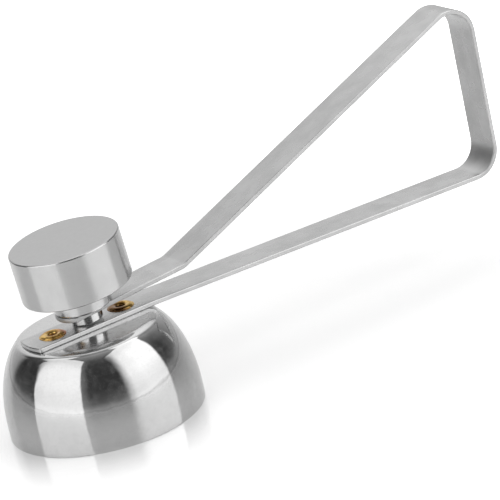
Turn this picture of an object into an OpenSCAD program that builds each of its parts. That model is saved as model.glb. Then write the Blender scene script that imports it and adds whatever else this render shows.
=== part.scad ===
// Egg topper: a steel cup that sits over the end of an egg, with a weighted knob held
// above it on a sprung steel strip. The knob is lifted against the strip and let go,
// its striker lands on the cup's top, and the cup's rim cracks a clean ring in the shell.
//
// Millimetres. The origin is the centre of the cup's rim. +Z is up, and the handle
// runs along +X. The strip is as wide as its Y size and lies evenly about Y = 0.

/* [Cup] */
// Outside diameter of the cup at its rim
cup_d = 40; // [36:0.5:46]
// Height of the cup from its rim to its flat top
cup_h = 19.5; // [18:0.1:24]
// Thickness of the cup's sheet
cup_wall = 0.9; // [0.6:0.1:1.2]
// Height of the straight skirt above the rim
skirt_h = 3.2; // [2.6:0.1:5]
// Diameter of the flat on top
flat_d = 27.6; // [26:0.1:29]
// How far the dome's quarter ellipse reaches in from the skirt
dome_run = 9.2; // [8.4:0.1:11]
// Size of the rounding between the dome and the flat
flat_round = 0.9; // [0.4:0.1:1.4]

/* [Spring strip] */
// Width of the strip
strip_w = 8.4; // [7:0.1:10]
// Thickness of the strip
strip_t = 1.0; // [0.8:0.05:1.3]
// Radius of the arc that rounds the tip's end
end_r = 6; // [5.4:0.1:7]
// How far the lower arm's end, which follows the flat's edge, stays inside that edge
end_inset = 0.2; // [0.1:0.1:0.8]
// Where the lower arm starts to slope, from the cup's axis
arm_start = 13.6; // [13:0.1:18]
// Slope of the lower arm, in degrees, down towards its far end
arm_slope = 1.8; // [0:0.1:3]
// From the cup's axis to the middle of the far side, at the bottom corner
reach = 99.6; // [85:0.2:120]
// Height of the far side between the two corners, along its own line
far_h = 39.1; // [32:0.1:46]
// Outward lean of the far side, in degrees
far_lean = 0.8; // [0:0.1:3]
// Radius inside the two far corners
corner_r = 5; // [3.5:0.1:7]
// Gap that parts the strip's two halves where it flexes
seam_gap = 0.3; // [0.25:0.05:0.5]

/* [Tip] */
// Where the striker lands on the lower arm, from the cup's axis
strike_x = 0.7; // [0:0.1:1.5]
// Tilt of the tip, the knob and the striker, in degrees
tip_tilt = 3.9; // [2:0.1:5]
// Gap between the tip and the lower arm, along the striker
tip_gap = 2.35; // [2:0.05:3]
// From the striker to the knee, along the tip
knee_run = 21.8; // [19:0.1:26]
// Radius inside the knee
knee_r = 4; // [2:0.1:8]

/* [Knob] */
// Diameter of the knob
knob_d = 22.7; // [19:0.1:26]
// Height of the knob above its neck
knob_h = 10.3; // [8:0.1:14]
// Size of the bevel round the knob's two edges
knob_bevel = 0.35; // [0.2:0.05:0.8]
// Diameter of the neck under the knob
neck_d = 11.8; // [10:0.1:13]
// Height of the neck
neck_h = 4.1; // [3:0.1:5]
// Radius of the fillet between the neck and the knob
neck_fillet = 0.5; // [0.3:0.1:1]

/* [Striker] */
// Diameter of the striker's foot
foot_d = 6.5; // [5.6:0.1:7.4]
// Size of the bevel round the foot
foot_bevel = 0.2; // [0.1:0.05:0.4]
// Gap under the foot's low edge at rest
foot_gap = 0.1; // [0.05:0.05:0.2]
// Diameter of the striker's shank
shank_d = 4; // [3:0.1:4.6]
// Length of the shank, from the foot's shoulder
shank_l = 11.5; // [9:0.1:12.5]
// Free depth of the knob's bore past the shank's end
bore_spare = 0.6; // [0.3:0.1:1]

/* [Rivets] */
// Distance between the two rivets
rivet_pitch = 16; // [15.4:0.1:16.6]
// Middle of the two rivets, from the cup's axis
rivet_mid = 0.4; // [0.2:0.1:0.7]
// Diameter of a rivet's shank
rivet_d = 3.2; // [2.8:0.1:3.6]
// Outside diameter of the end that is rolled over on the strip
roll_d = 5.6; // [5.2:0.1:6]
// Height of the rolled end
roll_h = 0.5; // [0.4:0.05:0.8]
// Diameter of the hollow left in the rolled end
hollow_d = 1.7; // [1.3:0.1:2]
// Depth of the hollow below the strip's top
hollow_l = 0.7; // [0.5:0.1:1.2]
// Diameter of the head inside the cup
head_d = 5.6; // [5:0.1:6]
// Height of the head inside the cup
head_h = 0.8; // [0.5:0.1:1.1]
// Clearance between a shank and its hole, on the radius
hole_gap = 0.05; // [0.03:0.01:0.1]

/* [Hidden] */

$fn = 96;
steps = 18;                                  // points along each drawn curve
over = 1;                                    // how far a cut runs past its solid

cup_r = cup_d / 2;
flat_r = flat_d / 2;
strip_top = cup_h + strip_t;
dome_axis = cup_r - dome_run;                // radius at which the dome's ellipse is centred
dome_top_angle = acos((flat_r - dome_axis) / dome_run);
dome_rise = (cup_h - skirt_h) / sin(dome_top_angle);

arm_mid = cup_h + strip_t / 2;               // middle of the strip where it lies on the cup
arm_end_r = flat_r - end_inset;              // the lower arm's end, about the cup's axis
bend_mid_r = corner_r + strip_t / 2;
knee_mid_r = knee_r + strip_t / 2;
near_corner = [reach, arm_mid - (reach - arm_start) * tan(arm_slope)];
far_corner = near_corner + far_h * [sin(far_lean), cos(far_lean)];
seam = (near_corner + far_corner) / 2;       // the middle of the far side, where it flexes
far_dir = [sin(far_lean), cos(far_lean)];

foot_low = (foot_gap + foot_d / 2 * sin(tip_tilt)) / cos(tip_tilt);
foot_h = tip_gap - foot_low;
neck_z = tip_gap + strip_t;                  // where the neck sits on the tip

// A point of the tip's own frame, in the XZ plane of the whole part
function tip_point(along, up) = [
    strike_x + along * cos(tip_tilt) - up * sin(tip_tilt),
    strip_top + along * sin(tip_tilt) + up * cos(tip_tilt)];

knee = tip_point(knee_run, tip_gap + strip_t / 2);
tip_end = tip_point(-end_r - over, tip_gap + strip_t / 2);

// One bend of a path: the arc of radius r that rounds the corner at b between a and c
function unit(v) = v / norm(v);
function turn(u, v) = atan2(u[0] * v[1] - u[1] * v[0], u * v);
function spin(v, angle) = [
    v[0] * cos(angle) - v[1] * sin(angle),
    v[0] * sin(angle) + v[1] * cos(angle)];
function bend(a, b, c, r) =
    let (u = unit(b - a), v = unit(c - b), angle = turn(u, v), side = sign(angle),
         start = b - u * r * tan(abs(angle) / 2), centre = start + side * r * [-u[1], u[0]])
    [for (i = [0:steps]) centre + spin(start - centre, angle * i / steps)];

// The outline of a strip of the given thickness that is centred on a path
function normal(path, i) =
    let (last = len(path) - 1,
         before = unit(path[max(i, 1)] - path[max(i, 1) - 1]),
         after = unit(path[min(i + 1, last)] - path[min(i, last - 1)]),
         middle = unit(before + after), widen = 1 / (middle * after))
    widen * [-middle[1], middle[0]];
function thicken(path, t) = concat(
    [for (i = [0:len(path) - 1]) path[i] + normal(path, i) * t / 2],
    [for (i = [len(path) - 1:-1:0]) path[i] - normal(path, i) * t / 2]);

// The cup's profile, moved inwards from the outside by the given inset
function dome_profile(inset) =
    let (run = dome_run - inset, rise = dome_rise - inset, top = cup_h - inset,
         last = asin((top - skirt_h) / rise), edge = [dome_axis + run * cos(last), top],
         slope = unit([run * sin(last), -rise * cos(last)]),
         from = edge + slope * flat_round, to = edge - [flat_round, 0],
         stop = asin((from[1] - skirt_h) / rise))
    concat([for (i = [0:steps]) let (a = stop * i / steps)
                [dome_axis + run * cos(a), skirt_h + rise * sin(a)]],
           [for (i = [1:4]) let (k = i / 4)
                (1 - k) * (1 - k) * from + 2 * k * (1 - k) * edge + k * k * to]);

// Everything that leans with the tip: local +Z runs up the striker from the lower arm
module in_tip_frame() {
    translate([strike_x, 0, strip_top])
        rotate([0, -tip_tilt, 0])
            children();
}

module at_rivets() {
    for (side = [-1, 1])
        translate([rivet_mid + side * rivet_pitch / 2, 0, 0])
            children();
}

// A drawn steel cup with a plain rim, pierced for the two rivets
module cup() {
    outer = dome_profile(0);
    inner = dome_profile(cup_wall);
    back = [for (i = [len(inner) - 1:-1:0]) inner[i]];
    color("silver")
        difference() {
            rotate_extrude()
                polygon(concat([[cup_r, 0]], outer, [[0, cup_h], [0, cup_h - cup_wall]],
                               back, [[cup_r - cup_wall, 0]]));
            at_rivets()
                translate([0, 0, cup_h - cup_wall - over])
                    cylinder(h = cup_wall + 2 * over, d = rivet_d + 2 * hole_gap);
        }
}

// A strip that follows a path in the XZ plane
module bent_strip(path) {
    rotate([90, 0, 0])
        linear_extrude(height = strip_w, center = true)
            polygon(thicken(path, strip_t));
}

// The plan of a strip with one end rounded to radius r, centred on that end's arc
module round_end(r, length, h) {
    cylinder(h = h, r = r, center = true);
    translate([0, -strip_w, -h / 2])
        cube([length, 2 * strip_w, h]);
}

// The lower half of the strip: riveted along the cup's flat, out to the near corner
// and half way up the far side
module lower_arm() {
    path = concat([[-arm_end_r - over, arm_mid], [arm_start, arm_mid]],
                  bend([arm_start, arm_mid], near_corner, far_corner, bend_mid_r),
                  [seam - far_dir * seam_gap / 2]);
    color("lightgray")
        difference() {
            intersection() {
                bent_strip(path);
                round_end(arm_end_r, 2 * reach, 4 * cup_h + 4 * far_h);
            }
            at_rivets()
                translate([0, 0, cup_h - over])
                    cylinder(h = strip_t + 2 * over, d = rivet_d + 2 * hole_gap);
        }
}

// The upper half of the strip: down the long arm to the knee and the pierced tip
module upper_arm() {
    path = concat([tip_end], bend(tip_end, knee, far_corner, knee_mid_r),
                  bend(knee, far_corner, near_corner, bend_mid_r),
                  [seam + far_dir * seam_gap / 2]);
    color("lightgray")
        difference() {
            intersection() {
                bent_strip(path);
                in_tip_frame()
                    round_end(end_r, 2 * reach, 4 * cup_h + 4 * far_h);
            }
            in_tip_frame()
                translate([0, 0, tip_gap - over])
                    cylinder(h = strip_t + 2 * over, d = shank_d + 2 * hole_gap);
        }
}

// A brass rivet: a low round head in the cup, a shank through the sheet and the strip, and
// a hollow end that is rolled over on the strip
module rivet() {
    roll_r = roll_d / 2;
    hollow_r = hollow_d / 2;
    crest_r = (roll_r + hollow_r) / 2;
    under = cup_h - cup_wall;
    roll = [for (i = [0:steps]) let (a = 180 * i / steps)
        [crest_r + (roll_r - crest_r) * cos(a), strip_top + roll_h * sin(a)]];
    head = [for (i = [0:steps]) let (a = 90 * i / steps)
        [head_d / 2 * sin(a), under - head_h * cos(a)]];
    rotate_extrude()
        polygon(concat(roll, [[hollow_r, strip_top - hollow_l], [0, strip_top - hollow_l]],
                       head, [[rivet_d / 2, under], [rivet_d / 2, strip_top]]));
}

module outer_rivet() {
    color("goldenrod")
        translate([rivet_mid - rivet_pitch / 2, 0, 0])
            rivet();
}

module inner_rivet() {
    color("goldenrod")
        translate([rivet_mid + rivet_pitch / 2, 0, 0])
            rivet();
}

// The turned weight that is lifted and let go, with the neck that stands on the tip
module knob() {
    knob_r = knob_d / 2;
    neck_r = neck_d / 2;
    base_z = neck_z + neck_h;
    top_z = base_z + knob_h;
    bore_h = shank_l - strip_t + bore_spare;
    fillet = [for (i = [0:steps]) let (a = 90 * i / steps)
        [neck_r + neck_fillet * (1 - cos(a)), base_z - neck_fillet * (1 - sin(a))]];
    color("gainsboro")
        in_tip_frame()
            difference() {
                rotate_extrude()
                    polygon(concat([[0, neck_z], [neck_r, neck_z]], fillet,
                                   [[knob_r - knob_bevel, base_z], [knob_r, base_z + knob_bevel],
                                    [knob_r, top_z - knob_bevel], [knob_r - knob_bevel, top_z],
                                    [0, top_z]]));
                translate([0, 0, neck_z - over])
                    cylinder(h = bore_h + over, d = shank_d + 2 * hole_gap);
            }
}

// The shouldered stud that clamps the tip to the knob; its foot strikes the lower arm
module striker() {
    foot_r = foot_d / 2;
    shank_r = shank_d / 2;
    color("silver")
        in_tip_frame()
            rotate_extrude()
                polygon([[0, foot_low], [foot_r - foot_bevel, foot_low],
                         [foot_r, foot_low + foot_bevel], [foot_r, tip_gap], [shank_r, tip_gap],
                         [shank_r, tip_gap + shank_l - foot_bevel],
                         [shank_r - foot_bevel, tip_gap + shank_l], [0, tip_gap + shank_l]]);
}

cup();
lower_arm();
upper_arm();
outer_rivet();
inner_rivet();
knob();
striker();
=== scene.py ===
import math

import bpy
from mathutils import Matrix, Vector


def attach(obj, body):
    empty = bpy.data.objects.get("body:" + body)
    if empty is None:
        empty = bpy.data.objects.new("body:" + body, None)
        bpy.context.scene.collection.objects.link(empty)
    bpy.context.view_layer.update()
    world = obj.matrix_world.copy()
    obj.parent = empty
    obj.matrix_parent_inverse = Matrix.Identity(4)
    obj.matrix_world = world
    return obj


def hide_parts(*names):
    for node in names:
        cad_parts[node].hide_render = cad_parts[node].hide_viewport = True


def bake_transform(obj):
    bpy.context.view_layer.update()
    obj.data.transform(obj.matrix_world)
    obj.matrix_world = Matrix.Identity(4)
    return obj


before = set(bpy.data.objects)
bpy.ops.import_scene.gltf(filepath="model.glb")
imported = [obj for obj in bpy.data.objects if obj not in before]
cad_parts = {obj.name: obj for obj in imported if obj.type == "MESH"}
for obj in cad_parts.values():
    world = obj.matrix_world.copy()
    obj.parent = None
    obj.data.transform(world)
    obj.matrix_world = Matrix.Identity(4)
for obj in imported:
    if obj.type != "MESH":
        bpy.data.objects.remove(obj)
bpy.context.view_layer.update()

# ---------------------------------------------------------------------------
# Sizes, as in the part's source. Lengths are millimetres until they meet MM.
# ---------------------------------------------------------------------------
MM = 0.001

CUP_R, CUP_H, WALL, SKIRT_H = 20.0, 19.5, 0.9, 3.2
FLAT_R, DOME_RUN = 13.8, 9.2

STRIP_W, STRIP_T, END_R, END_INSET = 8.4, 1.0, 6.0, 0.2
ARM_START, ARM_SLOPE, REACH = 13.6, 1.8, 99.6
FAR_H, FAR_LEAN, CORNER_R = 39.1, 0.8, 5.0

STRIKE_X, TIP_TILT, TIP_GAP = 0.7, 3.9, 2.35
KNEE_RUN, KNEE_R = 21.8, 4.0

KNOB_D, KNOB_H, KNOB_BEVEL = 22.7, 10.3, 0.35
NECK_D, NECK_H, NECK_FILLET = 11.8, 4.1, 0.5

FOOT_D, FOOT_GAP, FOOT_BEVEL, SHANK_D, SHANK_L, BORE_SPARE = 6.5, 0.1, 0.2, 4.0, 11.5, 0.6

RIVET_PITCH, RIVET_MID, RIVET_D, HOLE_GAP = 16.0, 0.4, 3.2, 0.05
ROLL_D, ROLL_H, HOLLOW_D, HOLLOW_L, HEAD_D, HEAD_H = 5.6, 0.5, 1.7, 0.7, 5.6, 0.8

# Small rounds. Only the first is in the part's source, where it is 0.9: the edge of the flat
FLAT_ROUND, RIM_ROUND, STRIP_ROUND = 1.2, 0.22, 0.24
NECK_ROUND, SHOULDER_ROUND = 0.34, 0.08

# A short straight run beside a round, which keeps the shading of the straight face true
BESIDE, CLOSE_BESIDE = 0.08, 0.05

STRIP_TOP = CUP_H + STRIP_T
ARM_MID = CUP_H + STRIP_T / 2
NECK_Z = TIP_GAP + STRIP_T
BASE_Z = NECK_Z + NECK_H
KNOB_TOP = BASE_Z + KNOB_H
TILT = math.radians(TIP_TILT)
RIVETS_X = (RIVET_MID - RIVET_PITCH / 2, RIVET_MID + RIVET_PITCH / 2)


def tip_point(along, up):
    """A point of the tip's own frame, as (x, z) of the whole part."""
    return (STRIKE_X + along * math.cos(TILT) - up * math.sin(TILT),
            STRIP_TOP + along * math.sin(TILT) + up * math.cos(TILT))


near_corner = (REACH, ARM_MID - (REACH - ARM_START) * math.tan(math.radians(ARM_SLOPE)))
lean = math.radians(FAR_LEAN)
far_corner = (near_corner[0] + FAR_H * math.sin(lean), near_corner[1] + FAR_H * math.cos(lean))
tip_middle = tip_point(0, TIP_GAP + STRIP_T / 2)
knee = tip_point(KNEE_RUN, TIP_GAP + STRIP_T / 2)
long_run = math.hypot(far_corner[0] - knee[0], far_corner[1] - knee[1])
long_heading = math.degrees(math.atan2(far_corner[1] - knee[1], far_corner[0] - knee[0]))


# ---------------------------------------------------------------------------
# The camera, at the photograph's viewing angle
# ---------------------------------------------------------------------------
CAMERA_AZIMUTH, CAMERA_ELEVATION, CAMERA_ROLL = -28.104, 19.385, -12.936
CAMERA_DISTANCE, AIM_RIGHT, AIM_UP = 810.808, 28.452, 33.059
FOCAL_PIXELS, PICTURE_PIXELS, SENSOR = 4044.34, 500, 36


def place_camera():
    """Looks at the point that lies AIM_RIGHT and AIM_UP from the origin across the picture."""
    turn, rise, roll = (math.radians(v) for v in (CAMERA_AZIMUTH, CAMERA_ELEVATION, CAMERA_ROLL))
    flat = math.cos(rise)
    back = Vector((math.sin(turn) * flat, -math.cos(turn) * flat, math.sin(rise)))
    level = Vector((math.cos(turn), math.sin(turn), 0))
    above = back.cross(level)
    right = level * math.cos(roll) + above * math.sin(roll)
    top = above * math.cos(roll) - level * math.sin(roll)
    place = (right * AIM_RIGHT + top * AIM_UP + back * CAMERA_DISTANCE) * MM
    bpy.ops.object.camera_add()
    camera = bpy.context.active_object
    camera.name = "camera"
    camera.data.sensor_width = SENSOR
    camera.data.lens = FOCAL_PIXELS * SENSOR / PICTURE_PIXELS
    camera.data.clip_start, camera.data.clip_end = 0.05, 20
    turned = Matrix((right, top, back)).transposed().to_4x4()
    camera.matrix_world = Matrix.Translation(place) @ turned
    bpy.context.scene.camera = camera


place_camera()


# ---------------------------------------------------------------------------
# Hand tools: each one is a few modelling operators
# ---------------------------------------------------------------------------
WELD = 0.001               # points closer than this are merged
DRILL_L = 3                # length of the cylinder that cuts a hole
SAME_WAY = 0.99            # dot product above which two directions count as the same


def bare():
    """Leaves edit mode and deselects everything."""
    if bpy.context.mode != "OBJECT":
        bpy.ops.object.mode_set(mode="OBJECT")
    bpy.ops.object.select_all(action="DESELECT")


def take(piece):
    """Makes the piece the active one, and the only one selected."""
    bare()
    piece.select_set(True)
    bpy.context.view_layer.objects.active = piece


def settle(piece, name=None):
    """The piece's place goes into its mesh, and it gets its name."""
    take(piece)
    bpy.ops.object.transform_apply(location=True, rotation=True, scale=True)
    if name:
        piece.name = piece.data.name = name
    return piece


def edit(piece, kind="FACE"):
    take(piece)
    bpy.ops.object.mode_set(mode="EDIT")
    bpy.ops.mesh.select_mode(type=kind)


def slide(piece, x):
    """Moves the whole mesh along X by x millimetres."""
    edit(piece)
    bpy.ops.mesh.select_all(action="SELECT")
    bpy.ops.transform.translate(value=(x * MM, 0, 0))
    bare()


def apply_modifier(piece, kind, **settings):
    take(piece)
    bpy.ops.object.modifier_add(type=kind)
    modifier = piece.modifiers[-1]
    for key, value in settings.items():
        setattr(modifier, key, value)
    bpy.ops.object.modifier_apply(modifier=modifier.name)


def smooth(piece, angle=32):
    take(piece)
    bpy.ops.object.shade_smooth_by_angle(angle=math.radians(angle))


def arc(middle, size, start, end, steps):
    """Points of an ellipse's arc as (radius, height), with its angles in degrees."""
    found = []
    for i in range(steps + 1):
        a = math.radians(start + (end - start) * i / steps)
        found.append((middle[0] + size[0] * math.cos(a), middle[1] + size[1] * math.sin(a)))
    return found


def round_arc(middle, radius, start, end, steps):
    return arc(middle, (radius, radius), start, end, steps)


def turn_on_lathe(name, outline, turns):
    """Draws an outline of (radius, height) points edge by edge, and spins it about +Z."""
    bare()
    first_r, first_z = outline[0]
    bpy.ops.mesh.primitive_plane_add(size=MM, location=(first_r * MM, 0, first_z * MM))
    piece = settle(bpy.context.active_object, name)
    edit(piece, "VERT")
    bpy.ops.mesh.select_all(action="SELECT")
    bpy.ops.mesh.merge(type="CENTER")
    for (r0, z0), (r1, z1) in zip(outline, outline[1:]):
        step = ((r1 - r0) * MM, 0, (z1 - z0) * MM)
        bpy.ops.mesh.extrude_region_move(TRANSFORM_OT_translate={"value": step})
    bpy.ops.mesh.select_all(action="SELECT")
    bpy.ops.mesh.spin(steps=turns, angle=math.tau, center=(0, 0, 0), axis=(0, 0, 1))
    bpy.ops.mesh.select_all(action="SELECT")
    bpy.ops.mesh.remove_doubles(threshold=WELD * MM)
    bpy.ops.mesh.delete_loose()
    bpy.ops.mesh.select_all(action="SELECT")
    bpy.ops.mesh.normals_make_consistent(inside=False)
    bare()
    return piece


def drill(piece, places, radius):
    """Cuts round holes along +Z through the sheet at places, as (x, y, z) in millimetres."""
    for place in places:
        bare()
        bpy.ops.mesh.primitive_cylinder_add(vertices=48, radius=radius * MM, depth=DRILL_L * MM,
                                            location=[v * MM for v in place])
        cutter = bpy.context.active_object
        apply_modifier(piece, "BOOLEAN", object=cutter, operation="DIFFERENCE", solver="EXACT")
        bare()
        cutter.select_set(True)
        bpy.ops.object.delete()


# ---------------------------------------------------------------------------
# The cup: a drawn sheet with a rounded rim, pierced for the two rivets
# ---------------------------------------------------------------------------
DOME_AXIS = CUP_R - DOME_RUN
DOME_RISE = (CUP_H - SKIRT_H) / math.sin(math.acos((FLAT_R - DOME_AXIS) / DOME_RUN))


def dome_line(inset, steps, edge_steps=8):
    """The cup's line from the top of its skirt to the edge of its flat, moved inwards by inset."""
    run, rise, top = DOME_RUN - inset, DOME_RISE - inset, CUP_H - inset
    last = math.asin((top - SKIRT_H) / rise)
    edge = Vector((DOME_AXIS + run * math.cos(last), top))
    slope = Vector((run * math.sin(last), -rise * math.cos(last))).normalized()
    low, high = edge + slope * FLAT_ROUND, edge - Vector((FLAT_ROUND, 0))
    stop = math.degrees(math.asin((low[1] - SKIRT_H) / rise))
    line = arc((DOME_AXIS, SKIRT_H), (run, rise), 0, stop, steps)
    for i in range(1, edge_steps + 1):
        k = i / edge_steps
        line.append(tuple(low * (1 - k) ** 2 + edge * 2 * k * (1 - k) + high * k ** 2))
    return line


def make_cup():
    outer, inner = dome_line(0, steps=44), dome_line(WALL, steps=24)
    rim = round_arc((CUP_R - RIM_ROUND, RIM_ROUND), RIM_ROUND, 0, -90, steps=5)
    rim += round_arc((CUP_R - WALL + RIM_ROUND, RIM_ROUND), RIM_ROUND, -90, -180, steps=5)
    outline = [(0, CUP_H), (outer[-1][0] - BESIDE, CUP_H)] + outer[::-1]
    outline += [(CUP_R, SKIRT_H * k) for k in (0.66, 0.33)]
    outline += rim
    outline += [(CUP_R - WALL, SKIRT_H / 2)] + inner
    outline += [(inner[-1][0] - BESIDE, CUP_H - WALL), (0, CUP_H - WALL)]
    cup = turn_on_lathe("cup_shell", outline, turns=176)
    drill(cup, [(x, 0, CUP_H - WALL / 2) for x in RIVETS_X], RIVET_D / 2 + HOLE_GAP)
    smooth(cup)
    return cup


# ---------------------------------------------------------------------------
# The spring strip: one length of steel, bent on from its round end
# ---------------------------------------------------------------------------
class StripEnd:
    """The end face that is being pushed along: where it is, and which way it heads."""

    def __init__(self, name, centre, heading, radius, cut=0):
        """Starts with a round end about centre, cut off square at cut along the heading."""
        a = math.radians(heading)
        self.x, self.z = centre[0] + cut * math.cos(a), centre[1] + cut * math.sin(a)
        self.heading = heading
        bare()
        bpy.ops.mesh.primitive_cylinder_add(vertices=240, radius=radius * MM, depth=STRIP_T * MM)
        self.piece = settle(bpy.context.active_object, name)
        edit(self.piece)
        half = STRIP_W / 2 * MM
        for point, out in (((0, half, 0), (0, 1, 0)), ((0, -half, 0), (0, -1, 0)),
                           ((cut * MM, 0, 0), (1, 0, 0))):
            bpy.ops.mesh.select_all(action="SELECT")
            bpy.ops.mesh.bisect(plane_co=point, plane_no=out, use_fill=True, clear_outer=True)
        bare()
        self.piece.rotation_euler = (0, -a, 0)
        self.piece.location = (centre[0] * MM, 0, centre[1] * MM)
        settle(self.piece)
        self.pick_end(Vector((math.cos(a), 0, math.sin(a))))

    def pick_end(self, ahead):
        """Selects the face that looks ahead, and stays in edit mode."""
        edit(self.piece)
        bpy.ops.mesh.select_all(action="DESELECT")
        bpy.ops.object.mode_set(mode="OBJECT")
        for face in self.piece.data.polygons:
            face.select = face.normal.dot(ahead) > SAME_WAY
        bpy.ops.object.mode_set(mode="EDIT")

    def run(self, length, parts=1):
        a = math.radians(self.heading)
        dx, dz = math.cos(a) * length / parts, math.sin(a) * length / parts
        for _ in range(parts):
            bpy.ops.mesh.extrude_region_move(
                TRANSFORM_OT_translate={"value": (dx * MM, 0, dz * MM)})
            self.x, self.z = self.x + dx, self.z + dz

    def bend(self, angle, radius, steps):
        """Turns by angle degrees, left when it is positive, round a centre at radius."""
        side = 1 if angle > 0 else -1
        a = math.radians(self.heading)
        cx, cz = self.x - side * radius * math.sin(a), self.z + side * radius * math.cos(a)
        bpy.ops.mesh.spin(steps=steps, angle=math.radians(abs(angle)),
                          center=(cx * MM, 0, cz * MM), axis=(0, side, 0))
        self.heading += angle
        a = math.radians(self.heading)
        self.x, self.z = cx + side * radius * math.sin(a), cz - side * radius * math.cos(a)

    def done(self, holes, hole_r):
        """Closes the mesh, rounds the sheared edges a little and drills the holes."""
        bpy.ops.mesh.select_interior_faces()
        bpy.ops.mesh.delete(type="FACE")
        bpy.ops.mesh.select_all(action="SELECT")
        bpy.ops.mesh.remove_doubles(threshold=WELD * MM)
        bpy.ops.mesh.normals_make_consistent(inside=False)
        bpy.ops.mesh.select_mode(type="EDGE")
        bpy.ops.mesh.select_all(action="DESELECT")
        bpy.ops.mesh.edges_select_sharp(sharpness=math.radians(50))
        bpy.ops.mesh.bevel(offset=STRIP_ROUND * MM, segments=4)
        bare()
        drill(self.piece, holes, hole_r)
        smooth(self.piece, 35)
        apply_modifier(self.piece, "WEIGHTED_NORMAL", mode="FACE_AREA", keep_sharp=True)
        return self.piece


def taken_up(angle, radius):
    """How much of each straight a bend of this angle takes up."""
    return radius * math.tan(math.radians(abs(angle)) / 2)


SLOPE_R, KNEE_MID_R, CORNER_MID_R = 30, KNEE_R + STRIP_T / 2, CORNER_R + STRIP_T / 2
FAR_HEADING = 90 - FAR_LEAN
NEAR_TURN = FAR_HEADING + ARM_SLOPE
FAR_TURN = 180 + long_heading - FAR_HEADING
MEETING = 4                # the two pieces of the strip meet this far past the far corner's bend
ROUND_CUT = -12            # the lower arm's round end is cut off square this far along X


def make_spring_strip():
    """The lower arm and the far side, to just past the far corner's bend."""
    strip = StripEnd("spring_strip", (0, ARM_MID), 0, FLAT_R - END_INSET, cut=ROUND_CUT)
    dip, near, far = (taken_up(ARM_SLOPE, SLOPE_R), taken_up(NEAR_TURN, CORNER_MID_R),
                      taken_up(FAR_TURN, CORNER_MID_R))
    arm = (REACH - ARM_START) / math.cos(math.radians(ARM_SLOPE))
    strip.run(ARM_START - ROUND_CUT - dip, parts=3)
    strip.bend(-ARM_SLOPE, SLOPE_R, steps=3)
    strip.run(arm - dip - near, parts=8)
    strip.bend(NEAR_TURN, CORNER_MID_R, steps=16)
    strip.run(FAR_H - near - far, parts=26)
    strip.bend(FAR_TURN, CORNER_MID_R, steps=18)
    strip.run(MEETING)
    return strip.done([(x, 0, ARM_MID) for x in RIVETS_X], RIVET_D / 2 + HOLE_GAP)


def make_striking_arm():
    """The upper arm, from its round tip over the knee to where it meets the spring strip."""
    strip = StripEnd("striking_arm", tip_middle, TIP_TILT, END_R)
    knee_turn = long_heading - TIP_TILT
    bent, far = taken_up(knee_turn, KNEE_MID_R), taken_up(FAR_TURN, CORNER_MID_R)
    strip.run(KNEE_RUN - bent, parts=2)
    strip.bend(knee_turn, KNEE_MID_R, steps=8)
    strip.run(long_run - bent - far - MEETING, parts=8)
    return strip.done([(tip_middle[0], 0, tip_middle[1])], SHANK_D / 2 + HOLE_GAP)


# ---------------------------------------------------------------------------
# Knob and striker, turned along the tip's own axis
# ---------------------------------------------------------------------------
def stand_on_tip(piece):
    piece.rotation_euler = (0, -TILT, 0)
    piece.location = (STRIKE_X * MM, 0, STRIP_TOP * MM)
    settle(piece)
    smooth(piece)
    return piece


def make_knob():
    body, neck, bevel = KNOB_D / 2, NECK_D / 2, KNOB_BEVEL
    bore, bore_top = SHANK_D / 2 + HOLE_GAP, NECK_Z + SHANK_L - STRIP_T + BORE_SPARE
    outline = [(0, bore_top), (bore, bore_top), (bore, NECK_Z),
               (neck - NECK_ROUND - CLOSE_BESIDE, NECK_Z)]
    outline += round_arc((neck - NECK_ROUND, NECK_Z + NECK_ROUND), NECK_ROUND, -90, 0, steps=4)
    outline += [(neck, NECK_Z + NECK_ROUND + BESIDE), (neck, BASE_Z - NECK_FILLET - BESIDE)]
    outline += round_arc((neck + NECK_FILLET, BASE_Z - NECK_FILLET), NECK_FILLET, 180, 90, steps=6)
    outline += [(neck + NECK_FILLET + BESIDE, BASE_Z), (body - bevel - BESIDE, BASE_Z)]
    outline += round_arc((body - bevel, BASE_Z + bevel), bevel, -90, 0, steps=6)
    outline += [(body, BASE_Z + bevel + BESIDE), (body, KNOB_TOP - bevel - BESIDE)]
    outline += round_arc((body - bevel, KNOB_TOP - bevel), bevel, 0, 90, steps=6)
    outline += [(body - bevel - BESIDE, KNOB_TOP)]
    outline += [(body * k, KNOB_TOP) for k in (0.66, 0.33, 0)]
    return stand_on_tip(turn_on_lathe("knob_weight", outline, turns=160))


def make_striker():
    foot, shank, bevel, shoulder = FOOT_D / 2, SHANK_D / 2, FOOT_BEVEL, SHOULDER_ROUND
    low = (FOOT_GAP + foot * math.sin(TILT)) / math.cos(TILT)
    top = TIP_GAP + SHANK_L
    outline = [(0, low), (foot - bevel - CLOSE_BESIDE, low)]
    outline += round_arc((foot - bevel, low + bevel), bevel, -90, 0, steps=5)
    outline += [(foot, low + bevel + CLOSE_BESIDE), (foot, TIP_GAP - shoulder * 1.5)]
    outline += round_arc((foot - shoulder, TIP_GAP - shoulder), shoulder, 0, 90, steps=3)
    outline += [(shank, TIP_GAP), (shank, top - bevel)]
    outline += round_arc((shank - bevel, top - bevel), bevel, 0, 90, steps=4)
    outline += [(0, top)]
    return stand_on_tip(turn_on_lathe("striker_stud", outline, turns=96))


# ---------------------------------------------------------------------------
# The two rivets: a low round head in the cup, and a hollow end rolled over on the strip
# ---------------------------------------------------------------------------
CREST_R = 1.72             # radius of the roll's crest, about the rivet's axis
LIP_R, LIP_H = 2.45, 0.16  # the thin lip outside the roll: its crest's radius, and its height
HOLLOW_ROUND = 0.2         # height of the round at the foot of the hollow
FLOOR_SHARE = 0.6          # the flat middle of the hollow, as a share of its radius


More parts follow.
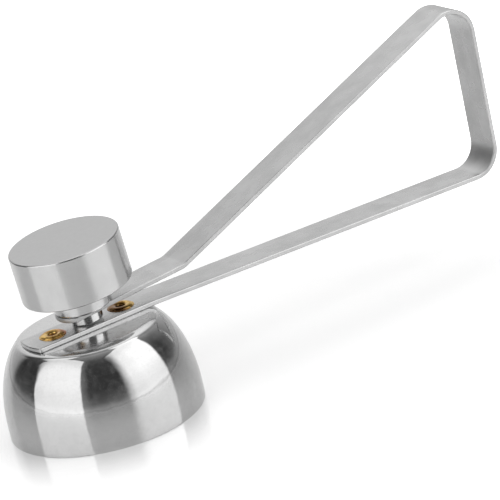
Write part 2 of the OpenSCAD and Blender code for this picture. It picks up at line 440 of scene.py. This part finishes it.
def make_rivets():
    under, top = CUP_H - WALL, STRIP_TOP
    hollow, shank = HOLLOW_D / 2, RIVET_D / 2
    floor, floor_z = hollow * FLOOR_SHARE, top - HOLLOW_L
    outline = [(0, floor_z), (floor, floor_z)]
    outline += arc((floor, floor_z + HOLLOW_ROUND), (hollow - floor, HOLLOW_ROUND), -90, 0, steps=4)[1:]
    outline += arc((CREST_R, top), (CREST_R - hollow, ROLL_H), 180, 14, steps=18)
    outline += arc((LIP_R, top), (ROLL_D / 2 - LIP_R, LIP_H), 95, 0, steps=8)
    outline += [(shank, top), (shank, under)]
    outline += arc((0, under), (HEAD_D / 2, HEAD_H), 0, -90, steps=14)
    rivet = turn_on_lathe("outer_hollow_rivet", outline, turns=72)
    slide(rivet, RIVETS_X[0])
    smooth(rivet, 50)
    take(rivet)
    bpy.ops.object.duplicate()
    twin = bpy.context.active_object
    twin.name = twin.data.name = "inner_hollow_rivet"
    slide(twin, RIVET_PITCH)
    return rivet, twin


cup = make_cup()
spring_strip = make_spring_strip()
striking_arm = make_striking_arm()
knob = make_knob()
striker = make_striker()
outer_rivet, inner_rivet = make_rivets()


# ---------------------------------------------------------------------------
# Shader maths, written as sums
# ---------------------------------------------------------------------------
class Wire:
    """The output socket of a node, for use in plain sums."""

    def __init__(self, finish, socket):
        self.finish, self.socket = finish, socket

    def __add__(self, other):
        return self.finish.maths("ADD", self, other)

    __radd__ = __add__

    def __sub__(self, other):
        return self.finish.maths("SUBTRACT", self, other)

    def __rsub__(self, other):
        return self.finish.maths("SUBTRACT", other, self)

    def __mul__(self, other):
        return self.finish.maths("MULTIPLY", self, other)

    __rmul__ = __mul__

    def __pow__(self, other):
        return self.finish.maths("POWER", self, other)

    def __rpow__(self, other):
        return self.finish.maths("POWER", other, self)


class Finish:
    """The nodes of one material or lamp, or of the world."""

    def __init__(self, owner):
        owner.use_nodes = True
        self.owner, self.tree = owner, owner.node_tree
        self.tree.nodes.clear()

    def add(self, kind, settings=None, sockets=None, out=0):
        node = self.tree.nodes.new(kind)
        for key, value in (settings or {}).items():
            setattr(node, key, value)
        for key, value in (sockets or {}).items():
            if isinstance(value, Wire):
                self.tree.links.new(value.socket, node.inputs[key])
            else:
                node.inputs[key].default_value = value
        return Wire(self, node.outputs[out]) if node.outputs else None

    def maths(self, operation, *values):
        return self.add("ShaderNodeMath", {"operation": operation}, dict(enumerate(values)))

    def place(self):
        return self.add("ShaderNodeTexCoord", out="Object")

    def stretched(self, vector, scale, move=(0, 0, 0), turn=(0, 0, 0), kind="POINT"):
        return self.add("ShaderNodeMapping", {"vector_type": kind},
                        {"Vector": vector, "Location": move, "Rotation": turn, "Scale": scale})

    def parts(self, vector):
        node = self.add("ShaderNodeSeparateXYZ", {}, {0: vector}).socket.node
        return [Wire(self, socket) for socket in node.outputs]

    def joined(self, x, y, z):
        return self.add("ShaderNodeCombineXYZ", {}, {0: x, 1: y, 2: z})

    def noise(self, vector, scale=1, detail=2, roughness=0.5):
        return self.add("ShaderNodeTexNoise", {},
                        {"Vector": vector, "Scale": scale, "Detail": detail, "Roughness": roughness})

    def fade(self, value, low, high, bottom=0.0, top=1.0):
        """Goes smoothly from bottom to top as value goes from low to high."""
        return self.add("ShaderNodeMapRange", {"interpolation_type": "SMOOTHSTEP"},
                        {"Value": value, "From Min": low, "From Max": high,
                         "To Min": bottom, "To Max": top})

    def linear(self, value, low, high, bottom, top):
        return self.add("ShaderNodeMapRange", {},
                        {"Value": value, "From Min": low, "From Max": high,
                         "To Min": bottom, "To Max": top})

    def clouds(self, noise):
        """Noise as patches of 0 and 1 that run into each other."""
        return self.fade(noise, 0.3, 0.7)

    def tint(self, amount, a, b):
        return self.add("ShaderNodeMix", {"data_type": "RGBA"}, {0: amount, 6: a, 7: b}, out=2)

    def shades(self, amount, greys):
        """From the first to the second of two greys."""
        return self.tint(amount, grey(greys[0]), grey(greys[1]))

    def bump(self, height, depth):
        return self.add("ShaderNodeBump", {}, {"Height": height, "Strength": 1, "Distance": depth})

    def put_out(self, kind, shader):
        self.add("ShaderNodeOutput" + kind, {}, {"Surface": shader})


def grey(level):
    return (level, level, level, 1)


def new_finish(name):
    return Finish(bpy.data.materials.new(name))


# Greys of the steels, as (where darkest, where brightest)
CUP_GREYS, STRIP_GREYS = (0.595, 0.645), (0.515, 0.65)
# The knob's top has darker greys of its own: a painted shade
KNOB_GREYS, TOP_PAINTED_SHADE_GREYS = (0.59, 0.65), (0.525, 0.57)
# The cup's flat and the striker: one lighter grey, a painted light
FLAT_PAINTED_LIGHT = 0.76

# Colours of the brass: plain, and the painted shades: in the hollow, red on the outer rivet and brown
# on the inner one
BRASS_LOW, BRASS_HIGH = (0.46, 0.24, 0.055, 1), (0.90, 0.61, 0.20, 1)
BRASS_HOLLOW_SHADE = (0.55, 0.34, 0.15, 1)
BRASS_RED_SHADE, BRASS_BROWN_SHADE = (0.46, 0.15, 0.085, 1), (0.17, 0.08, 0.04, 1)

# Roughness of each finish where it is smoothest, and of the wide, soft reflection under a haze
POLISHED, SATIN, TURNED, BRASS_SHINE, WIDE = 0.035, 0.22, 0.13, 0.13, 0.42

# Depths of the relief in the cup, the strip, the knob and the rivets
CUP_DEPTH, STRIP_DEPTH, RING_DEPTH, BRASS_DEPTH = 0.03, 0.006, 0.004, 0.015


def metal(finish, colour, roughness, normal, haze=None):
    """The metal itself, with a share of wide soft reflection, and the material's output."""
    sockets = {"Base Color": colour, "Metallic": 1.0, "Roughness": roughness, "Normal": normal}
    shader = finish.add("ShaderNodeBsdfPrincipled", {}, sockets)
    if haze is not None:
        wide = finish.add("ShaderNodeBsdfPrincipled", {}, {**sockets, "Roughness": WIDE})
        shader = finish.add("ShaderNodeMixShader", {}, {0: haze, 1: shader, 2: wide})
    finish.put_out("Material", shader)
    return finish


def polished_steel():
    """Drawn and polished: nearly a mirror, with slow waves, a light haze and faint turning
    lines. From the cup's flat upwards it is duller, and lighter in a painted light, the
    whole striker too."""
    f = new_finish("polished_steel")
    place = f.place()
    z = f.parts(place)[2]
    smudge = f.noise(place, scale=130, detail=3)
    cloud = f.noise(place, scale=560, detail=4, roughness=0.65)
    lines = f.noise(f.stretched(place, (40, 40, 2600)), detail=3)
    wave = f.noise(place, scale=260)
    flat = f.fade(z, (CUP_H - 1.0) * MM, (CUP_H - 0.3) * MM)
    colour = f.shades(f.clouds(smudge) * 0.7 + f.clouds(lines) * 0.3, CUP_GREYS)
    # Painted light: the flat and everything above it, the striker too, go to a lighter grey
    colour = f.tint(flat * 0.85, colour, grey(FLAT_PAINTED_LIGHT))
    roughness = POLISHED + f.fade(smudge, 0.35, 0.75) * 0.02 + flat * 0.07
    haze = 0.004 + flat * 0.12
    haze = haze + f.fade(cloud, 0.40, 0.68) * 0.13 + f.fade(lines, 0.45, 0.75) * 0.02
    relief = (wave + cloud * 0.06) * (1 - flat * 0.8)
    return metal(f, colour, roughness, f.bump(relief, CUP_DEPTH * MM), haze)


def strip_steel():
    """Rolled strip: satin, with soft clouds, small patches and hardly any grain. The upper arm
    darkens towards its tip in a painted shade by the knob. The tip's sheared edges and the
    near bend are duller."""
    f = new_finish("strip_steel")
    place = f.place()
    x, _, z = f.parts(place)
    grain = f.noise(f.stretched(place, (80, 2200, 80)), detail=3)
    blotch = f.noise(f.stretched(place, (110, 140, 110)))
    patch = f.noise(place, scale=240, detail=3, roughness=0.55)
    shade = f.clouds(blotch) * 0.45 + f.clouds(patch) * 0.5 + f.clouds(grain) * 0.05
    upper = f.fade(z, 21 * MM, 24 * MM)
    # Painted shade: the upper arm is darker towards its tip, by the knob
    dark = upper * f.fade(x, 25 * MM, 70 * MM, 0.3, 0)
    colour = f.shades(shade - dark, STRIP_GREYS)
    up = f.parts(f.add("ShaderNodeTexCoord", out="Normal"))[2]
    upright = f.fade(up * up, 0.1, 0.5, 1, 0)
    tip = f.fade(x, 8 * MM, 20 * MM, 1, 0) * f.fade(z, 21 * MM, 22 * MM)
    bent = f.fade(x, 93.5 * MM, 96.5 * MM) * f.fade(z, 20 * MM, 24 * MM, 1, 0)
    roughness = SATIN + f.fade(blotch, 0.3, 0.8) * 0.06 + f.fade(patch, 0.3, 0.8) * 0.06
    roughness = roughness + upright * tip * 0.25 + bent * 0.2
    return metal(f, colour, roughness, f.bump(grain * 0.04 + patch, STRIP_DEPTH * MM))


def turned_steel():
    """Turned on a lathe: fine rings about the knob's own axis, streaks along it, a faced top
    that is duller and greyer, its grey a painted shade, and a neck that is clearer than
    the body."""
    f = new_finish("turned_steel")
    place = f.stretched(f.place(), (1, 1, 1), (STRIKE_X * MM, 0, STRIP_TOP * MM), (0, -TILT, 0),
                        "TEXTURE")
    x, y, z = f.parts(place)
    radius = f.maths("SQRT", x * x + y * y)
    rings = f.noise(f.joined(radius * 2600, 0, z * 2600))
    blotch = f.noise(place, scale=220, detail=3)
    fine = f.noise(place, scale=900, detail=4, roughness=0.6)
    streak = f.noise(f.stretched(place, (700, 700, 60)), detail=3)
    top = f.fade(z, (KNOB_TOP - 0.06) * MM, (KNOB_TOP - 0.02) * MM)
    body = f.fade(z, (BASE_Z - 0.3) * MM, BASE_Z * MM)
    shade = f.clouds(blotch) * (0.5 - top * 0.3) + f.clouds(fine) * 0.3
    shade = shade + f.clouds(streak) * (1 - top) * 0.2
    # Painted shade: the top is tinted to its darker greys
    colour = f.tint(top * 0.9, f.shades(shade, KNOB_GREYS), f.shades(shade, TOP_PAINTED_SHADE_GREYS))
    roughness = TURNED + f.fade(blotch, 0.3, 0.8) * 0.04 + f.fade(streak, 0.4, 0.7) * 0.05
    relief = f.bump(rings * (1 - top), RING_DEPTH * MM)
    return metal(f, colour, roughness + top * 0.2, relief, 0.08 + body * 0.16)


def brass():
    """Gold brass, duller in the hollow. Painted shade makes it browner in the hollow, red on the
    outer rivet's right side and brown on the inner rivet's left part."""
    f = new_finish("brass")
    place = f.place()
    x, _, z = f.parts(place)
    patch = f.noise(place, scale=800, detail=3)
    # Painted shade: browner in the hollow and low down, where the roll meets the strip
    hollow_shade = 1 - f.fade(z, (STRIP_TOP - 0.4) * MM, (STRIP_TOP + 0.3) * MM)
    # Painted shade: red on the outer rivet's right side, towards the striker
    red = f.fade(x, -6.9 * MM, -5.3 * MM) * (1 - f.fade(x, -4 * MM, -2 * MM))
    # Painted shade: brown on the inner rivet's left part, towards the striker
    brown = f.fade(x, 7.6 * MM, 9.6 * MM, 0.85, 0) * f.fade(x, 4 * MM, 5 * MM)
    colour = f.tint(hollow_shade, f.tint(f.clouds(patch), BRASS_LOW, BRASS_HIGH), BRASS_HOLLOW_SHADE)
    colour = f.tint(red * (0.6 + patch * 0.5), colour, BRASS_RED_SHADE)
    colour = f.tint(brown * f.fade(patch, 0.15, 0.45), colour, BRASS_BROWN_SHADE)
    roughness = BRASS_SHINE + f.fade(patch, 0.3, 0.8) * 0.1 + hollow_shade * 0.3
    return metal(f, colour, roughness, f.bump(patch, BRASS_DEPTH * MM))


def dress(piece, finish):
    piece.data.materials.clear()
    piece.data.materials.append(finish.owner)


# ---------------------------------------------------------------------------
# What each piece is made of, what it stands for, and what it moves with
# ---------------------------------------------------------------------------
finishes = {"polished_steel": polished_steel(), "strip_steel": strip_steel(),
            "turned_steel": turned_steel(), "brass": brass()}
for piece, node, slot in (
        (cup, "cup", "polished_steel"), (spring_strip, "lower_arm", "strip_steel"),
        (striking_arm, "upper_arm", "strip_steel"), (knob, "knob", "turned_steel"),
        (striker, "striker", "polished_steel"),
        (outer_rivet, "outer_rivet", "brass"), (inner_rivet, "inner_rivet", "brass")):
    dress(piece, finishes[slot])
    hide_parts(node)
for piece in (cup, outer_rivet, inner_rivet):
    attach(piece, "cup_and_lower_arm")
for piece in (striking_arm, knob, striker):
    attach(piece, "hammer")
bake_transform(spring_strip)


# ---------------------------------------------------------------------------
# Pale floor and soft studio light, in metres
# ---------------------------------------------------------------------------
LAMP_DISTANCE, LAMP_HEIGHT = 0.75, 1.685

# Shares of a lamp's height: where its plinth and its foot end, and between which its light dims
# to the last share
PLINTH_END, FOOT_END, DIM_START, DIM_END, DIMMED = 0.014, 0.2, 0.42, 0.85, 0.74

# Shares of a lamp's width: how far beside its left edge it is dimmer, from what share of its
# light, and how far the spill past its right edge goes
EDGE_RUN, EDGE_START, SPILL_RUN = 0.16, 0.9, 0.14

# The room's levels, and where its pale parts are, in degrees
STUDIO_LEVEL, BELOW_LEVEL, CEILING_LEVEL, ZENITH_LEVEL = 0.036, 0.3, 0.75, 0.16
CEILING_AZIMUTH, CEILING_LEAN, BACKDROP_AZIMUTH = 130, 25, 160
BACKDROP_RISE, BACKDROP_END = (-85, 0), (38, 50)
BACKDROP_RUN, BACKDROP_LEVELS = (8, 45), (0.69, 0.28)

# The floor's paint, near and far, where the far paint is darker in a painted shade, and in millimetres
# where it mirrors the cup's foot
FLOOR_ACROSS, FLOOR_SHADE, FAR_PAINTED_SHADE, FAR_RUN = 6, 0.9, 0.2, (0.3, 0.55)
MIRRORED, MIRROR_RUN, MIRROR_EDGE = 0.46, (15, 38), (18.5, 23.5)


def softbox(name, azimuth, level, foot, plinth, left, right, spill):
    """An upright lamp that stands on the floor and is masked to a softbox. Places across it are
    shares of its width, from its left, which is the side of lower azimuth. left says up to where
    it is dark, from where it is lit, and how far the dark has drawn back at the top. right says
    from where it is dark, up to where it is lit, and how far this edge leans out at the top.
    foot and plinth dim its lower end, and spill is a little light past its right edge."""
    a = math.radians(azimuth)
    width = 2 * LAMP_DISTANCE
    toward = Vector((math.sin(a), -math.cos(a), 0))
    bare()
    bpy.ops.object.light_add(type="AREA",
                             location=toward * LAMP_DISTANCE + Vector((0, 0, LAMP_HEIGHT / 2)))
    lamp = bpy.context.active_object
    lamp.name = name
    lamp.rotation_euler = toward.to_track_quat("Z", "Y").to_euler()
    lamp.data.shape = "RECTANGLE"
    lamp.data.size, lamp.data.size_y = width, LAMP_HEIGHT
    lamp.data.energy = level * math.pi * width * LAMP_HEIGHT
    lamp.visible_camera = False

    f = Finish(lamp.data)
    across, up, _ = f.parts(f.add("ShaderNodeNewGeometry", out="Parametric"))
    bow = up * up
    share = f.linear(up, 0, FOOT_END, foot, 1) * f.fade(up, DIM_START, DIM_END, 1, DIMMED)
    share = share * f.fade(up, 0, PLINTH_END, plinth, 1)
    dark, lit, drawn_back = left
    share = share * f.fade(across, dark - bow * drawn_back, lit)
    share = share * f.linear(across, lit, lit + EDGE_RUN, EDGE_START, 1)
    dark, lit, leaning = right
    edge = f.fade(across - bow * leaning, lit, dark, 1, 0) * (1 - spill)
    share = share * (edge + f.fade(across, dark, dark + SPILL_RUN, spill, 0))
    f.put_out("Light", f.add("ShaderNodeEmission", {}, {"Color": grey(1), "Strength": share}))


softbox("left_softbox", azimuth=-81, level=1.36, foot=0.78, plinth=1,
        left=(0.180, 0.203, 0.9), right=(0.802, 0.772, 0.04), spill=0.1)
softbox("right_softbox", azimuth=38, level=1.58, foot=0.65, plinth=0.74,
        left=(0.115, 0.300, 0.15), right=(0.746, 0.700, 0.38), spill=0.02)


def light_the_room():
    """The room as the metal sees it: a dark studio, a pale backdrop behind the object that
    fades off to both sides, and a ceiling that is brightest overhead and towards the backdrop.
    turned is how many degrees a direction is away from the backdrop's azimuth."""
    world = bpy.data.worlds.new("studio")
    bpy.context.scene.world = world
    f = Finish(world)
    x, y, z = f.parts(f.add("ShaderNodeTexCoord", out="Generated"))

    def facing(azimuth):
        """How far a direction looks towards this azimuth, and towards higher ones."""
        a = math.radians(azimuth)
        return x * math.sin(a) - y * math.cos(a), x * math.cos(a) + y * math.sin(a)

    ahead, side = facing(BACKDROP_AZIMUTH)
    turned = f.maths("ARCTAN2", side, ahead) * math.degrees(1)
    backdrop = f.fade(turned, *BACKDROP_RISE) * f.linear(turned, *BACKDROP_RUN, *BACKDROP_LEVELS)
    backdrop = backdrop * f.fade(turned, *BACKDROP_END, 1, 0)
    lean = math.radians(CEILING_LEAN)
    overhead = z * math.cos(lean) + facing(CEILING_AZIMUTH)[0] * math.sin(lean)
    ceiling = f.maths("MAXIMUM", overhead, 0) ** 6 * CEILING_LEVEL
    ceiling = ceiling + f.fade(z, 0.86, 0.98) * ZENITH_LEVEL
    behind = f.fade(f.maths("ABSOLUTE", turned), 90, 150)
    low = f.linear(z, 0, 0.36, 1, 0) ** 2 * (0.12 + behind * 0.06) + f.fade(z, 0, 0.1, 0.13, 0)
    level = STUDIO_LEVEL + behind * 0.014 + backdrop + ceiling + low * (1 - backdrop)
    above = f.fade(z, -0.02, 0.0)
    level = level * above + BELOW_LEVEL * (1 - above)
    camera = f.add("ShaderNodeLightPath", out="Is Camera Ray")
    level = camera + level * (1 - camera)
    f.put_out("World", f.add("ShaderNodeBackground", {}, {"Color": grey(1), "Strength": level}))


def lay_floor():
    """A glossy white board. As the metal sees it, it mirrors the room, and far off its paint
    darkens in a painted shade. For the camera it is white, and mirrors only the foot of the
    cup, less and less away from it."""
    bare()
    bpy.ops.mesh.primitive_plane_add(size=FLOOR_ACROSS)
    floor = settle(bpy.context.active_object, "floor")
    f = new_finish("floor_paint")
    x, y = f.parts(f.place())[:2]
    radius = f.maths("SQRT", x * x + y * y)
    camera = f.add("ShaderNodeLightPath", out="Is Camera Ray")
    elsewhere = 1 - camera
    far = f.fade(radius, *FAR_RUN)

    a = math.radians(CAMERA_AZIMUTH)
    across = f.maths("ABSOLUTE", x * math.cos(a) + y * math.sin(a))
    mirror = f.fade(radius, *(v * MM for v in MIRROR_RUN), MIRRORED, 0)
    mirror = mirror * f.fade(across, *(v * MM for v in MIRROR_EDGE), 1, 0)
    grazing = f.add("ShaderNodeFresnel", {}, {"IOR": 1.5})
    gloss = (0.17 + grazing * 0.75) * elsewhere + mirror * camera
    shine = f.add("ShaderNodeBsdfGlossy", {}, {"Color": grey(1), "Roughness": 0.02 + camera * 0.03})

    lift = (0.16 + f.fade(y, 0.05, 0.1, 0, 0.15)) * (1 - far)
    lift = camera * (0.39 + f.fade(radius, 0.09, 0.2)) + elsewhere * lift
    # Painted shade: the paint darkens far from the object
    paint = f.tint(far, grey(FLOOR_SHADE), grey(FAR_PAINTED_SHADE))
    matt = f.add("ShaderNodeBsdfDiffuse", {}, {"Color": paint})
    glow = f.add("ShaderNodeEmission", {}, {"Color": grey(1), "Strength": lift})
    white = f.add("ShaderNodeAddShader", {}, {0: matt, 1: glow})
    f.put_out("Material", f.add("ShaderNodeMixShader", {}, {0: gloss, 1: white, 2: shine}))
    dress(floor, f)


light_the_room()
lay_floor()
bpy.context.scene.view_settings.view_transform = "Standard"
